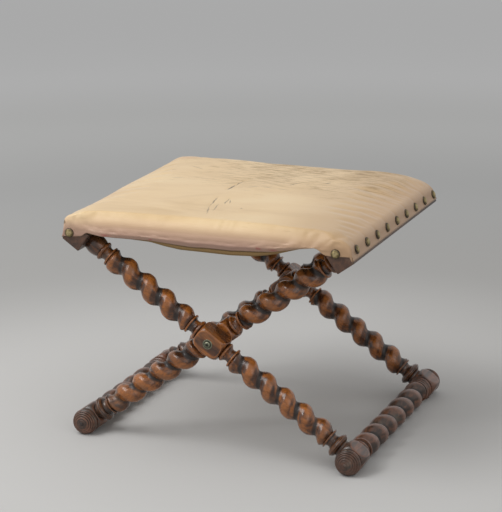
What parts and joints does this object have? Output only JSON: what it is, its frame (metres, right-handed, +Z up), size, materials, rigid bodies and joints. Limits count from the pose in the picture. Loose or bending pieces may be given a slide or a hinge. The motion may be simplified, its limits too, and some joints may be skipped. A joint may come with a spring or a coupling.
{
  "type": "folding stool",
  "caption": "Folding X-frame stool with twist-turned legs and floor rails, square seat rails and a stuffed silk seat nailed over them.",
  "frame": {"origin": "on the floor, below the middle of the stool's plan", "axes": "+Z up, +X across the stool from seat rail to seat rail, -Y to the front"},
  "size_m": [0.596, 0.545, 0.4399],
  "materials": {
    "walnut": "old wax polish, worn on the crowns",
    "rail_walnut": "plain planed, dull",
    "nail_brass": "tarnished domed heads",
    "pivot_iron": "dark, rubbed bright on the edges",
    "silk": "ribbed silk, faded and stained",
    "wadding": "curled hair and wadding",
    "linen": "coarse plain weave"
  },
  "bodies": {
    "outer_frame": {"outer_front_leg": "walnut", "outer_back_leg": "walnut", "outer_floor_rail": "walnut", "outer_seat_rail": "rail_walnut", "outer_nail_01": "nail_brass", "outer_nail_02": "nail_brass", "outer_nail_03": "nail_brass", "outer_nail_04": "nail_brass", "outer_nail_05": "nail_brass", "outer_nail_06": "nail_brass", "outer_nail_07": "nail_brass", "outer_nail_08": "nail_brass", "outer_nail_09": "nail_brass", "outer_nail_10": "nail_brass", "outer_nail_11": "nail_brass", "front_pivot_rivet": "pivot_iron", "back_pivot_rivet": "pivot_iron", "front_outer_washer": "pivot_iron", "front_middle_washer": "pivot_iron", "front_inner_washer": "pivot_iron", "back_outer_washer": "pivot_iron", "back_middle_washer": "pivot_iron", "back_inner_washer": "pivot_iron", "seat_cover": "silk", "seat_stuffing": "wadding", "seat_sling": "linen"},
    "inner_frame": {"inner_front_leg": "walnut", "inner_back_leg": "walnut", "inner_floor_rail": "walnut", "inner_seat_rail": "rail_walnut", "inner_nail_01": "nail_brass", "inner_nail_02": "nail_brass", "inner_nail_03": "nail_brass", "inner_nail_04": "nail_brass", "inner_nail_05": "nail_brass", "inner_nail_06": "nail_brass", "inner_nail_07": "nail_brass", "inner_nail_08": "nail_brass", "inner_nail_09": "nail_brass", "inner_nail_10": "nail_brass", "inner_nail_11": "nail_brass"}
  },
  "joints": [
    {"name": "fold", "type": "hinge", "parent": "outer_frame", "child": "inner_frame", "pos_m": [0, 0, 0.21455], "axis": [0, -1, 0], "range_deg": [0, 100], "deforming": ["seat_cover", "seat_stuffing", "seat_sling"]}
  ]
}
